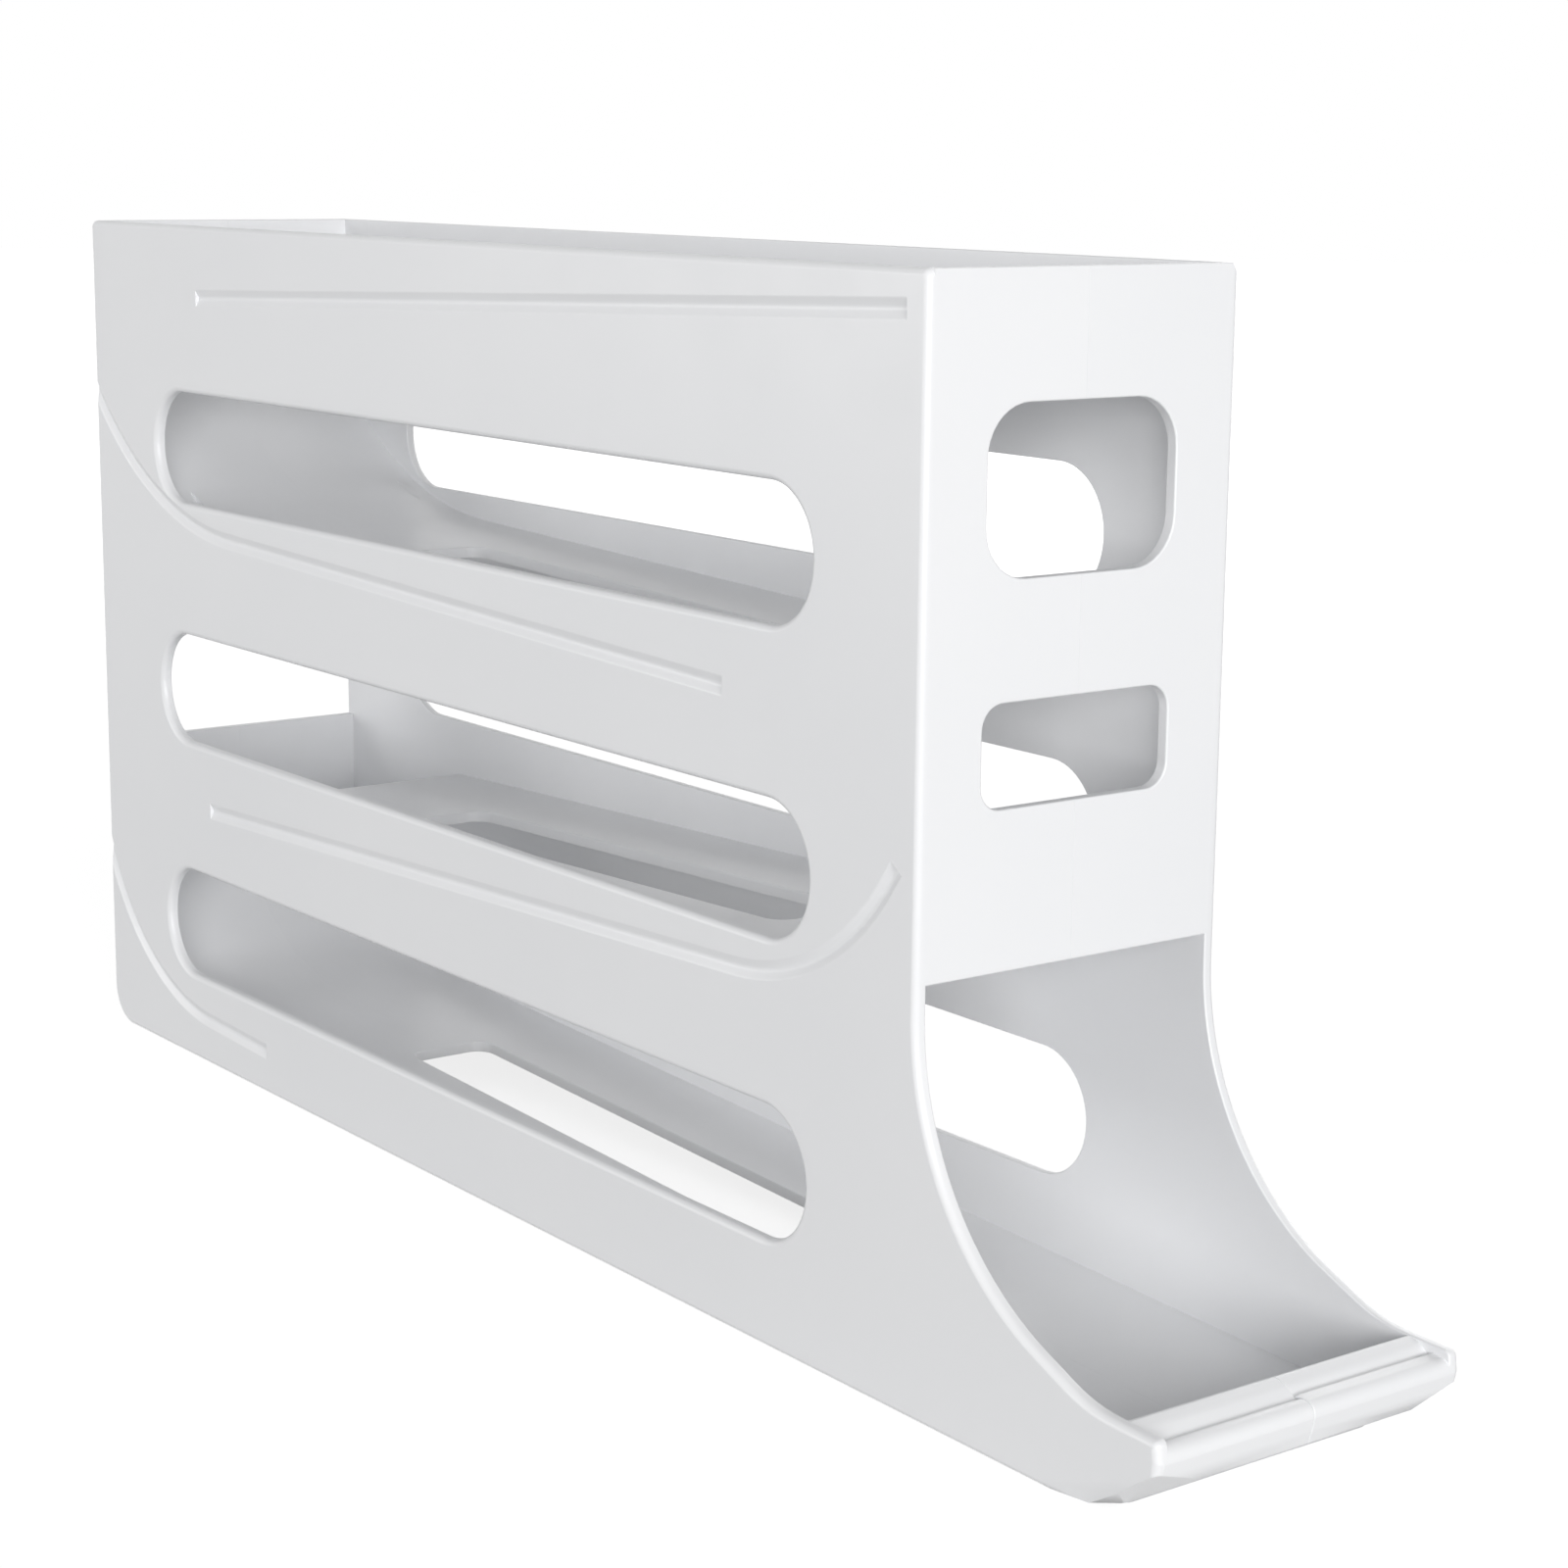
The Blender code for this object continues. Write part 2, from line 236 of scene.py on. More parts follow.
def rounded(corners, turn_step=arc_step):
    """Outline from corners (u, v, radius): each radius becomes an arc that touches both sides."""
    outline = []
    for index, (u, v, radius) in enumerate(corners):
        point = Vector((u, v))
        if radius == 0:
            outline.append(tuple(point))
            continue
        before = (Vector(corners[index - 1][:2]) - point).normalized()
        after = (Vector(corners[(index + 1) % len(corners)][:2]) - point).normalized()
        half_angle = before.angle(after) / 2
        centre = point + (before + after).normalized() * radius / math.sin(half_angle)
        first = point + before * radius / math.tan(half_angle) - centre
        last = point + after * radius / math.tan(half_angle) - centre
        turn = first.angle(last)
        steps = max(1, math.ceil(turn / turn_step))
        sign = 1 if first.x * last.y - first.y * last.x > 0 else -1
        for step in range(steps + 1):
            angle = sign * turn * step / steps
            spun = Vector((
                first.x * math.cos(angle) - first.y * math.sin(angle),
                first.x * math.sin(angle) + first.y * math.cos(angle),
            ))
            outline.append(tuple(centre + spun))
    return outline


def in_metres(corners):
    """Corners that are written in millimetres."""
    return [(u * MM, v * MM, radius * MM) for u, v, radius in corners]


def box_corners(low, high, radius):
    """Corners of a rectangle, all with the same radius."""
    return [
        (low[0], low[1], radius), (high[0], low[1], radius),
        (high[0], high[1], radius), (low[0], high[1], radius),
    ]


def new_object(name, mesh):
    """Object at the origin, in the scene."""
    thing = bpy.data.objects.new(name, mesh)
    bpy.context.scene.collection.objects.link(thing)
    return thing


def grown(outline, amount):
    """Outline with every side moved outwards by an amount, or inwards where it is negative."""
    points = [Vector(point) for point in outline]
    area = sum(a.x * b.y - b.x * a.y for a, b in zip(points, points[1:] + points[:1]))
    out = amount if area > 0 else -amount
    moved = []
    for index, point in enumerate(points):
        before = (point - points[index - 1]).normalized()
        after = (points[(index + 1) % len(points)] - point).normalized()
        first, second = Vector((before.y, -before.x)), Vector((after.y, -after.x))
        moved.append(point + (first + second) * out / (1 + first.dot(second)))
    return moved


def loft(name, rings):
    """Closed solid through rings of as many points each, with a flat cap at both ends."""
    shape = bmesh.new()
    loops = [[shape.verts.new(point) for point in ring] for ring in rings]
    for near, far in zip(loops, loops[1:]):
        for index in range(len(near)):
            shape.faces.new((near[index - 1], near[index], far[index], far[index - 1]))
    shape.faces.new(loops[0])
    shape.faces.new(loops[-1])
    bmesh.ops.recalc_face_normals(shape, faces=shape.faces)
    mesh = bpy.data.meshes.new(name)
    shape.to_mesh(mesh)
    shape.free()
    return new_object(name, mesh)


def end_steps(radius):
    """Depth from an end face and the inset there, along a rounded edge."""
    if radius == 0:
        return [(0, 0)]
    angles = [math.pi / 2 * step / end_round_steps for step in range(end_round_steps + 1)]
    return [(radius * (1 - math.cos(angle)), radius * (1 - math.sin(angle))) for angle in angles]


def side_place(u, v, t):
    """Outline of (y from the front plate's face, z), pushed along x."""
    return Vector((t, face_y + u, v))


def front_place(u, v, t):
    """Outline of (x, z), pushed along y, counted from the front plate's face."""
    return Vector((u, face_y + t, v))


def plan_place(u, v, t):
    """Outline of (x, y from the front plate's face), pushed along z."""
    return Vector((u, face_y + v, t))


def solid(name, outline, place, start, end, start_round=0, end_round=0):
    """Solid from an outline, between two ends, with its edges at the ends rounded."""
    toward = 1 if end > start else -1
    levels = [(start + toward * way, -inset) for way, inset in end_steps(start_round)]
    levels += [(end - toward * way, -inset) for way, inset in reversed(end_steps(end_round))]
    rings = [[place(u, v, t) for u, v in grown(outline, growth)] for t, growth in levels]
    return loft(name, rings)


def hole(name, outline, place, start, end, start_round=0, end_round=0):
    """Cutter for a hole through a wall between two faces, with its rims rounded."""
    toward = 1 if end > start else -1
    levels = [(start - toward * overrun, start_round + overrun * rim_flare_share)]
    levels += [(start + toward * way, inset) for way, inset in end_steps(start_round)]
    levels += [(end - toward * way, inset) for way, inset in reversed(end_steps(end_round))]
    levels.append((end + toward * overrun, end_round + overrun * rim_flare_share))
    rings = [[place(u, v, t) for u, v in grown(outline, growth)] for t, growth in levels]
    return loft(name, rings)


def delete(things):
    """Removes objects together with their meshes."""
    for thing in things:
        mesh = thing.data
        bpy.data.objects.remove(thing, do_unlink=True)
        bpy.data.meshes.remove(mesh)


def apply_modifiers(thing):
    """Makes the result of an object's modifiers its own plain mesh."""
    depsgraph = bpy.context.evaluated_depsgraph_get()
    mesh = bpy.data.meshes.new_from_object(thing.evaluated_get(depsgraph))
    thing.modifiers.clear()
    old = thing.data
    thing.data = mesh
    bpy.data.meshes.remove(old)


def combine(base, others, operation):
    """Joins solids to a base solid, or cuts them out of it, and deletes them."""
    for other in others:
        step = base.modifiers.new("combine", "BOOLEAN")
        step.operation = operation
        step.solver = "MANIFOLD"
        step.object = other
    apply_modifiers(base)
    delete(others)


def merge_close(thing):
    """Merges points that a cut has left almost in one place."""
    shape = bmesh.new()
    shape.from_mesh(thing.data)
    bmesh.ops.remove_doubles(shape, verts=shape.verts, dist=merge_distance)
    shape.to_mesh(thing.data)
    shape.free()


def round_edges(thing, choose, radius):
    """Rounds each sharp edge that choose(edge) picks."""
    shape = bmesh.new()
    shape.from_mesh(thing.data)
    bmesh.ops.remove_doubles(shape, verts=shape.verts, dist=merge_distance)
    sharp = [
        edge for edge in shape.edges
        if len(edge.link_faces) == 2 and edge.calc_face_angle(0) > bevel_angle and choose(edge)
    ]
    bmesh.ops.bevel(
        shape, geom=sharp, offset=radius, offset_type="OFFSET", segments=wall_edge_steps, profile=0.5,
        affect="EDGES", clamp_overlap=False, loop_slide=True,
    )
    shape.to_mesh(thing.data)
    shape.free()


def finish(thing, material):
    """Gives a piece its one material, and normals that keep its faces flat and its edges soft."""
    thing.data.materials.clear()
    thing.data.materials.append(material)
    thing.data.polygons.foreach_set("material_index", [0] * len(thing.data.polygons))
    thing.data.shade_smooth()
    thing.data.set_sharp_from_angle(angle=crease_angle)
    weigh = thing.modifiers.new("weigh", "WEIGHTED_NORMAL")
    weigh.keep_sharp = True
    apply_modifiers(thing)
    thing.data.name = thing.name


# Formulas as Math nodes, for the geometry trees and for the material groups

class Sums:
    """Adds Math nodes to a tree: call it with an operation and its terms."""

    def __init__(self, tree):
        self.tree = tree

    def __call__(self, operation, *terms):
        node = self.tree.nodes.new("ShaderNodeMath")
        node.operation = operation
        for socket, term in zip(node.inputs, terms):
            if isinstance(term, bpy.types.NodeSocket):
                self.tree.links.new(term, socket)
            else:
                socket.default_value = term
        return node.outputs[0]

    def seen_straight(self):
        """1 for rays from the camera and for those that gloss or glass sends on, otherwise 0."""
        rays = self.tree.nodes.new("ShaderNodeLightPath").outputs
        sent_on = self("MAXIMUM", rays["Is Glossy Ray"], rays["Is Transmission Ray"])
        return self("MAXIMUM", rays["Is Camera Ray"], sent_on)


def geometry_tree(name, inputs):
    """Empty geometry tree with named inputs, and its group input node."""
    tree = bpy.data.node_groups.new(name, "GeometryNodeTree")
    tree.is_modifier = True
    tree.interface.new_socket("Geometry", in_out="INPUT", socket_type="NodeSocketGeometry")
    for label, kind in inputs:
        tree.interface.new_socket(label, in_out="INPUT", socket_type="NodeSocket" + kind)
    tree.interface.new_socket("Geometry", in_out="OUTPUT", socket_type="NodeSocketGeometry")
    return tree, tree.nodes.new("NodeGroupInput")


def finish_tree(tree, group, geometry):
    """Ends a tree in Realize Instances and Set Material."""
    realize = tree.nodes.new("GeometryNodeRealizeInstances")
    paint = tree.nodes.new("GeometryNodeSetMaterial")
    output = tree.nodes.new("NodeGroupOutput")
    tree.links.new(geometry, realize.inputs["Geometry"])
    tree.links.new(realize.outputs["Geometry"], paint.inputs["Geometry"])
    tree.links.new(group.outputs["Material"], paint.inputs["Material"])
    tree.links.new(paint.outputs["Geometry"], output.inputs["Geometry"])


def section_mesh(name, outline, closed=True):
    """Line of a section, for a tree that sweeps or turns it."""
    mesh = bpy.data.meshes.new(name)
    count = len(outline)
    edges = [(i, (i + 1) % count) for i in range(count if closed else count - 1)]
    mesh.from_pydata([(u, v, 0) for u, v in outline], edges, [])
    return mesh


def run_tree(tree, name, values, mesh):
    """Plain closed mesh from a tree that works on a mesh, with its inputs set by name."""
    maker = new_object(name, mesh)
    modifier = maker.modifiers.new("tree", "NODES")
    modifier.node_group = tree
    sockets = {item.name: item.identifier for item in tree.interface.items_tree if item.in_out == "INPUT"}
    for label, value in values.items():
        modifier[sockets[label]] = value
    maker.update_tag()
    bpy.context.view_layer.update()
    depsgraph = bpy.context.evaluated_depsgraph_get()
    made = bpy.data.meshes.new_from_object(maker.evaluated_get(depsgraph))
    shape = bmesh.new()
    shape.from_mesh(made)
    bmesh.ops.remove_doubles(shape, verts=shape.verts, dist=merge_distance)
    bmesh.ops.recalc_face_normals(shape, faces=shape.faces)
    shape.to_mesh(made)
    shape.free()
    maker.modifiers.clear()
    maker.data = made
    bpy.data.meshes.remove(mesh)
    return maker


def ramp_tree():
    """Sweeps a closed section along a ramp's middle line: straight, then bent upwards."""
    tree, group = geometry_tree("ramp_run", [
        ("From", "Float"), ("To", "Float"), ("Level", "Float"), ("Rise", "Float"),
        ("Bend side", "Float"), ("Bend at", "Float"), ("Bend radius", "Float"), ("Steps", "Int"),
        ("Face y", "Float"), ("Material", "Material"),
    ])
    nodes, links = tree.nodes, tree.links
    value = group.outputs
    sums = Sums(tree)

    line = nodes.new("GeometryNodeCurvePrimitiveLine")
    for end, label in (("Start", "From"), ("End", "To")):
        point = nodes.new("ShaderNodeCombineXYZ")
        links.new(value[label], point.inputs["Y"])
        links.new(point.outputs["Vector"], line.inputs[end])
    dense = nodes.new("GeometryNodeResampleCurve")
    links.new(line.outputs["Curve"], dense.inputs["Curve"])
    links.new(value["Steps"], dense.inputs["Count"])

    place = nodes.new("GeometryNodeInputPosition")
    split = nodes.new("ShaderNodeSeparateXYZ")
    links.new(place.outputs["Position"], split.inputs["Vector"])
    y = split.outputs["Y"]
    straight = sums("MULTIPLY_ADD", y, value["Rise"], value["Level"])
    turn = sums("ARCTANGENT", sums("MULTIPLY", value["Rise"], value["Bend side"]))
    past = sums("MULTIPLY", sums("SUBTRACT", y, value["Bend at"]), value["Bend side"])
    from_centre = sums("MULTIPLY_ADD", value["Bend radius"], sums("SINE", turn), past)
    bend_level = sums("MULTIPLY_ADD", value["Bend at"], value["Rise"], value["Level"])
    centre = sums("MULTIPLY_ADD", value["Bend radius"], sums("COSINE", turn), bend_level)
    square = sums(
        "SUBTRACT",
        sums("MULTIPLY", value["Bend radius"], value["Bend radius"]),
        sums("MULTIPLY", from_centre, from_centre),
    )
    bent = sums("SUBTRACT", centre, sums("SQRT", sums("MAXIMUM", square, 0.0)))
    is_bent = sums("GREATER_THAN", past, 0.0)
    level = sums("MULTIPLY_ADD", is_bent, sums("SUBTRACT", bent, straight), straight)

    moved = nodes.new("ShaderNodeCombineXYZ")
    links.new(split.outputs["X"], moved.inputs["X"])
    links.new(sums("ADD", y, value["Face y"]), moved.inputs["Y"])
    links.new(level, moved.inputs["Z"])
    follow = nodes.new("GeometryNodeSetPosition")
    links.new(dense.outputs["Curve"], follow.inputs["Geometry"])
    links.new(moved.outputs["Vector"], follow.inputs["Position"])

    upright = nodes.new("GeometryNodeSetCurveNormal")
    upright.mode = "Z_UP"
    links.new(follow.outputs["Geometry"], upright.inputs["Curve"])

    section = nodes.new("GeometryNodeMeshToCurve")
    links.new(value["Geometry"], section.inputs["Mesh"])
    sweep = nodes.new("GeometryNodeCurveToMesh")
    sweep.inputs["Fill Caps"].default_value = True
    links.new(upright.outputs["Curve"], sweep.inputs["Curve"])
    links.new(section.outputs["Curve"], sweep.inputs["Profile Curve"])
    finish_tree(tree, group, sweep.outputs["Mesh"])
    return tree


def turning_tree():
    """Turns an outline of (radius, x) round the x direction, and sets the result at each place."""
    tree, group = geometry_tree("turning", [
        ("Places", "Object"), ("Sides", "Int"), ("Rail radius", "Float"), ("Material", "Material"),
    ])
    nodes, links = tree.nodes, tree.links
    value = group.outputs

    circle = nodes.new("GeometryNodeCurvePrimitiveCircle")
    links.new(value["Sides"], circle.inputs["Resolution"])
    links.new(value["Rail radius"], circle.inputs["Radius"])
    level = nodes.new("GeometryNodeSetCurveNormal")
    level.mode = "Z_UP"
    links.new(circle.outputs["Curve"], level.inputs["Curve"])
    outline = nodes.new("GeometryNodeMeshToCurve")
    links.new(value["Geometry"], outline.inputs["Mesh"])
    turn = nodes.new("GeometryNodeCurveToMesh")
    links.new(level.outputs["Curve"], turn.inputs["Curve"])
    links.new(outline.outputs["Curve"], turn.inputs["Profile Curve"])
    lay = nodes.new("GeometryNodeTransform")
    lay.inputs["Rotation"].default_value = (0, -math.pi / 2, 0)
    links.new(turn.outputs["Mesh"], lay.inputs["Geometry"])

    places = nodes.new("GeometryNodeObjectInfo")
    links.new(value["Places"], places.inputs["Object"])
    set_out = nodes.new("GeometryNodeInstanceOnPoints")
    links.new(places.outputs["Geometry"], set_out.inputs["Points"])
    links.new(lay.outputs["Geometry"], set_out.inputs["Instance"])
    finish_tree(tree, group, set_out.outputs["Instances"])
    return tree


def peg_outline():
    """Peg's outline of (radius, x) from its tip to the back of its boss, on the left half."""
    face = -seam_half_gap
    corners = [
        (0, peg_length, 0), (peg_radius - peg_tip, peg_length, boss_round),
        (peg_radius, peg_length - peg_tip, 0), (peg_radius, face, 0), (boss_radius, face, boss_round),
        (boss_radius, -boss_length, boss_round), (0, -boss_length, 0),
    ]
    return rounded(corners)


def socket_outline():
    """Socket's closed outline of (radius, x), with a flared mouth, on the right half."""
    face = seam_half_gap
    corners = [
        (socket_radius + peg_tip, face, 0), (boss_radius, face, boss_round),
        (boss_radius, boss_length, boss_round), (socket_radius, boss_length, 0),
        (socket_radius, face + peg_tip, 0),
    ]
    return rounded(corners)


def joint_row(name, nodes, outline, closed, material):
    """Row of pegs or sockets at the places that the frame gives."""
    places = []
    for node in nodes:
        low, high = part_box(node)
        places.append((0, (low.y + high.y) / 2, (low.z + high.z) / 2))
    points = bpy.data.meshes.new("places")
    points.from_pydata(places, [], [])
    marks = new_object("places", points)
    section = section_mesh(name, [(radius - rail_radius, x) for radius, x in outline], closed)
    row = run_tree(turning, name, {
        "Places": marks, "Sides": turned_sides, "Rail radius": rail_radius, "Material": material,
    }, section)
    delete([marks])
    finish(row, material)
    return row


def ramp_rule(start, end, level, rise, bend_side=0.0, bend_run=0.0, bend_angle=0.0):
    """One ramp's middle line, as the inputs of the ramp tree."""
    bend_at = depth - bend_run if bend_side > 0 else bend_run
    radius = 1.0
    if bend_side != 0:
        radius = bend_run / (math.sin(bend_angle) - math.sin(math.atan(rise * bend_side)))
    return {
        "From": start, "To": end, "Level": level, "Rise": rise,
        "Bend side": bend_side, "Bend at": bend_at, "Bend radius": radius,
    }


wall_middle = wall / 2
ramp_4_level = wall_middle / math.cos(fall_forward) + math.tan(fall_forward) * (lip_rear + overlap)
ramp_rules = {
    "ramp_1": ramp_rule(wall_middle, depth - drop_length, ramp_1_level, -math.tan(fall_back)),
    "ramp_2": ramp_rule(
        drop_length, depth - wall_middle, ramp_2_level, math.tan(fall_forward), to_back, *ramp_2_bend,
    ),
    "ramp_3": ramp_rule(
        wall_middle, depth - drop_length, ramp_3_level, -math.tan(fall_back), to_front, *ramp_3_bend,
    ),
    "ramp_4": ramp_rule(
        -lip_rear - overlap, depth - wall_middle, ramp_4_level, math.tan(fall_forward),
        to_back, *ramp_4_bend,
    ),
}

# Where each groove starts and ends, from the front plate's face, with run-outs past the back edge,
# and how far it lies above the ramp's middle
groove_spans = {
    "ramp_1": (5.3 * MM, 262.4 * MM, 0.1 * MM),
    "ramp_2": (56.5 * MM, depth + overlap, 0.4 * MM),
    "ramp_3": (5.7 * MM, 261.5 * MM, -0.3 * MM),
    "ramp_4": (235.9 * MM, depth + overlap, -0.2 * MM),
}


# Finishes

def moulded_group():
    """Colour, roughness and height of satin moulded plastic, on object coordinates."""
    group = bpy.data.node_groups.new("moulded_plastic", "ShaderNodeTree")
    made = group.interface
    for label, kind, default in (
        ("Colour", "Color", shell_white), ("Shade", "Color", shell_shade),
        ("Drift scale", "Float", drift_scale), ("Grain scale", "Float", grain_scale),
        ("Smooth", "Float", shell_smooth), ("Dull", "Float", shell_dull),
        ("Shift", "Vector", left_shift),
    ):
        socket = made.new_socket(label, in_out="INPUT", socket_type="NodeSocket" + kind)
        socket.default_value = default
    for label, kind in (("Colour", "Color"), ("Roughness", "Float"), ("Height", "Float")):
        made.new_socket(label, in_out="OUTPUT", socket_type="NodeSocket" + kind)
    nodes, links = group.nodes, group.links
    entry = nodes.new("NodeGroupInput")
    leave = nodes.new("NodeGroupOutput")
    where = nodes.new("ShaderNodeTexCoord")
    shift = nodes.new("ShaderNodeVectorMath")
    shift.operation = "ADD"
    links.new(where.outputs["Object"], shift.inputs[0])
    links.new(entry.outputs["Shift"], shift.inputs[1])

    def noise(scale, detail, rough):
        node = nodes.new("ShaderNodeTexNoise")
        links.new(shift.outputs["Vector"], node.inputs["Vector"])
        if isinstance(scale, bpy.types.NodeSocket):
            links.new(scale, node.inputs["Scale"])
        else:
            node.inputs["Scale"].default_value = scale
        node.inputs["Detail"].default_value = detail
        node.inputs["Roughness"].default_value = rough
        return node.outputs["Fac"]

    def spread(source, low, high, to_low, to_high):
        node = nodes.new("ShaderNodeMapRange")
        node.inputs["From Min"].default_value = low
        node.inputs["From Max"].default_value = high
        links.new(source, node.inputs["Value"])
        for label, term in (("To Min", to_low), ("To Max", to_high)):
            if isinstance(term, bpy.types.NodeSocket):
                links.new(term, node.inputs[label])
            else:
                node.inputs[label].default_value = term
        return node.outputs["Result"]

    drift_noise = noise(entry.outputs["Drift scale"], drift_detail, drift_roughness)
    drift = spread(drift_noise, drift_low, drift_high, 0.0, 1.0)
    blend = nodes.new("ShaderNodeMix")
    blend.data_type = "RGBA"
    links.new(drift, blend.inputs["Factor"])
    links.new(entry.outputs["Colour"], blend.inputs["A"])
    links.new(entry.outputs["Shade"], blend.inputs["B"])
    links.new(blend.outputs["Result"], leave.inputs["Colour"])

    handling = noise(handling_scale, handling_detail, handling_roughness)
    gloss = spread(
        handling, handling_low, handling_high, entry.outputs["Smooth"], entry.outputs["Dull"],
    )
    links.new(gloss, leave.inputs["Roughness"])
    grain = noise(entry.outputs["Grain scale"], grain_detail, grain_roughness)
    links.new(grain, leave.inputs["Height"])
    return group


moulded = moulded_group()


def plastic(name, shift):
    """Shell plastic, with its pattern shifted so that the halves don't show the same spots."""
    material = bpy.data.materials.new(name)
    material.use_nodes = True
    nodes, links = material.node_tree.nodes, material.node_tree.links
    shader = nodes["Principled BSDF"]
    shader.inputs["IOR"].default_value = plastic_ior
    surface = nodes.new("ShaderNodeGroup")
    surface.node_tree = moulded
    for label, value in (
        ("Colour", shell_white), ("Shade", shell_shade), ("Smooth", shell_smooth), ("Dull", shell_dull),
        ("Shift", shift),
    ):
        surface.inputs[label].default_value = value
    bump = nodes.new("ShaderNodeBump")
    bump.inputs["Strength"].default_value = grain_strength
    bump.inputs["Distance"].default_value = grain_height
    links.new(surface.outputs["Colour"], shader.inputs["Base Color"])
    links.new(surface.outputs["Roughness"], shader.inputs["Roughness"])
    links.new(surface.outputs["Height"], bump.inputs["Height"])
    links.new(bump.outputs["Normal"], shader.inputs["Normal"])
    return material


left_plastic = plastic("left_shell_plastic", left_shift)
right_plastic = plastic("right_shell_plastic", right_shift)


# Shells

def panel_outline():
    """Side panel with its round sweep, the ledge that it runs out in, its nose and its rounded foot."""
    corners = [(0, height, front_corner_round)]
    for step in range(sweep_steps + 1):
        angle = sweep_turn * step / sweep_steps
        corners.append((sweep_radius * (math.cos(angle) - 1), sweep_top - sweep_radius * math.sin(angle), 0))
    end_y, end_level, _ = corners[-1]
    corners.append((end_y - (end_level - ledge_height) * math.tan(sweep_turn), ledge_height, ledge_round))
    corners += in_metres(nose_corners)
    corners.append((depth, 0, rear_foot_round))
    corners.append((depth, height, rim_corner_round))
    return rounded(corners, panel_arc_step)


def wall_outline(front, back, low, high):
    """Upright wall with rounded free edges."""
    return rounded(box_corners((front, low), (back, high), inner_round))


def lip_outline(side):
    """Lip's section; the right half's groove is moved by the jog."""
    groove = lip_groove_corners
    if side > 0:
        groove = tuple((y + lip_jog, z + lip_jog_rise, radius) for y, z, radius in groove)
    return rounded(in_metres(lip_rear_corners + lip_ridge_corners + groove + lip_front_corners))


def ramp_wall(name, rule, side, material):
    """One half of a ramp, from the seam into the panel, with its opening and rounded free edges."""
    near, far = side * seam_half_gap, side * (inside + overlap)
    section = [(near, -wall_middle), (far, -wall_middle), (far, wall_middle), (near, wall_middle)]
    values = {**rule, "Steps": bend_steps, "Face y": face_y, "Material": material}
    strip = run_tree(ramp_run, name, values, section_mesh(name, section))
    opening = rounded(box_corners(
        (-middle_half_width, middle_front), (middle_half_width, middle_back), middle_round,
    ))
    combine(strip, [solid("opening", opening, plan_place, -overrun, height + overrun)], "DIFFERENCE")
    round_edges(strip, lambda edge: max(abs(v.co.x) for v in edge.verts) > overlap, inner_round)
    return strip


def groove_section(side):
    """Groove's section: soft slopes, and rims that stand just off the panel."""
    corners = [
        (groove_rim_height, groove_rim_half, 0), (0, groove_half_width, groove_rim_round),
        (-groove_depth, groove_floor_half, groove_floor_round),
        (-groove_depth, -groove_floor_half, groove_floor_round),
        (0, -groove_half_width, groove_rim_round), (groove_rim_height, -groove_rim_half, 0),
    ]
    return [(side * (outside + u), v) for u, v in rounded(corners, groove_arc_step)]


def groove_cutter(name, side, material):
    """Cutter for the groove that marks one ramp on the panel's outside."""
    start, end, lift = groove_spans[name]
    rule = ramp_rules[name]
    values = {**rule, "From": start, "To": end, "Level": rule["Level"] + lift}
    values.update({"Steps": groove_bend_steps, "Face y": face_y, "Material": material})
    return run_tree(ramp_run, "groove", values, section_mesh("groove", groove_section(side)))


def window_cutters():
    """Cutters for the front plate's two windows."""
    cutters = []
    for low, high, radius in (
        (upper_window_low, upper_window_high, upper_window_round),
        (lower_window_low, lower_window_high, lower_window_round),
    ):
        outline = rounded(box_corners((-window_half_width, low), (window_half_width, high), radius))
        cutters.append(hole("window", outline, front_place, 0, wall, window_round, inner_round))
    return cutters


def slot_cutters(side):
    """Cutters for one panel's long slots."""
    cutters = []
    for tier in range(slot_count):
        low = slot_floor + tier * tier_pitch
        ends = box_corners((slot_front, low), (slot_back, low + slot_height), slot_height * round_end_share)
        outline = rounded(ends, slot_arc_step)
        cutters.append(hole(
            "slot", outline, side_place, side * outside, side * inside, outer_round, inner_round,
        ))
    return cutters


def plane_cutter(name, first, second, third, kept):
    """Block that fills the side of a plane away from a point that is kept."""
    first, second, third = Vector(first), Vector(second), Vector(third)
    normal = (second - first).cross(third - first).normalized()
    if normal.dot(Vector(kept) - first) > 0:
        normal = -normal
    along = (second - first).normalized() * reach
    across = normal.cross(along)
    ahead, behind = first + 2 * along, first - along
    near = [ahead + across, behind + across, behind - across, ahead - across]
    return loft(name, [near, [point + normal * reach for point in near]])


def chin_cutters(side):
    """Cutters for the facets under one half's nose."""
    edge = side * outside
    start = (edge, face_y - chin_start, 0)
    corner = (edge - side * chin_inset, face_y - chin_corner, 0)
    front = (side * chin_front_half_width, face_y - lip_rear, 0)
    nose = (edge, face_y - chin_nose, chin_rise)
    face_end = (edge, face_y - chin_face, chin_face_rise)
    lower_edge = (side * chin_edge_half_width, face_y - chin_edge, chin_edge_rise)
    kept = (0, face_y - lip_rear, ledge_height)
    return [
        plane_cutter("chin_side", start, nose, corner, kept),
        plane_cutter("chin_corner", nose, corner, front, kept),
        plane_cutter("chin_front", face_end, lower_edge, front, kept),
    ]


def plan_block():
    """Block of the whole size in plan, with the nose's upright corners rounded."""
    corners = [
        (-outside, -reach, nose_round), (outside, -reach, nose_round),
        (outside, depth + overrun, 0), (-outside, depth + overrun, 0),
    ]
    return solid("plan", rounded(corners), plan_place, -overrun, height + overrun)


